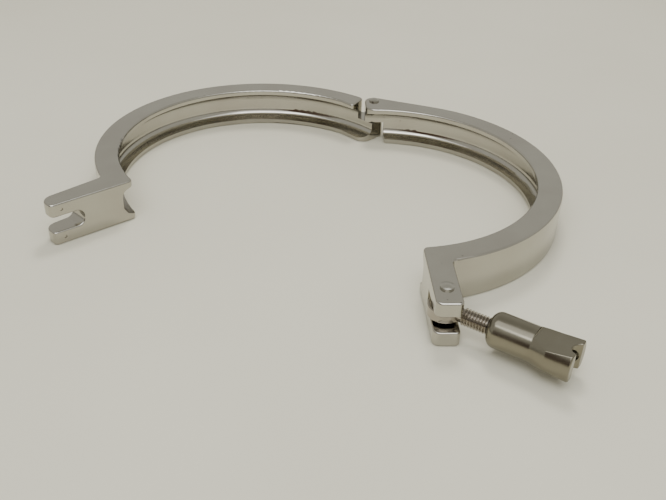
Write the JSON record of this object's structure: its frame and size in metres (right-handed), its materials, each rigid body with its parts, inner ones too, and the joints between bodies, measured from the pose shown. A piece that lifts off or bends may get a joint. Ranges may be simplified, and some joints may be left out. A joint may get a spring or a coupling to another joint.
{
  "type": "hinged pipe clamp",
  "caption": "Hinged two-piece flange clamp for pipe joints, lying open, with a V-grooved inside, a swing bolt and a long wing nut.",
  "frame": {"origin": "centre of the clevis half's bore, half way up the clamp's height", "axes": "+Z along the pipe axis, +Y from the bore centre to the hinge pin, +X towards the middle of the clevis half"},
  "size_m": [0.2661, 0.2765, 0.0244],
  "materials": {
    "clamp_steel": "polished casting with fine scratches",
    "pin_steel": "satin",
    "bolt_steel": "rolled thread, satin",
    "nut_steel": "turned and polished"
  },
  "bodies": {
    "clevis_body": {"clevis_half": "clamp_steel", "hinge_pin": "pin_steel", "bolt_pin": "pin_steel"},
    "fork_body": {"fork_half": "clamp_steel"},
    "bolt_body": {"swing_bolt": "bolt_steel"},
    "nut_body": {"wing_nut": "nut_steel"}
  },
  "joints": [
    {"name": "clamp_hinge", "type": "hinge", "parent": "clevis_body", "child": "fork_body", "pos_m": [0, 0.09346, 0], "axis": [0, 0, 1], "range_deg": [-73.66, 46.34]},
    {"name": "bolt_swing", "type": "hinge", "parent": "clevis_body", "child": "bolt_body", "pos_m": [0.0153, -0.1115, 0], "axis": [0, 0, -1], "range_deg": [-60, 143.4]},
    {"name": "nut_travel", "type": "slide", "parent": "bolt_body", "child": "nut_body", "axis": [0.8028, -0.5962, 0], "range_m": [-0.009, 0.0214]}
  ],
  "couplings": [
    {"joint": "nut_travel", "follows": "bolt_swing", "m_per_rad": 0.0085304}
  ]
}
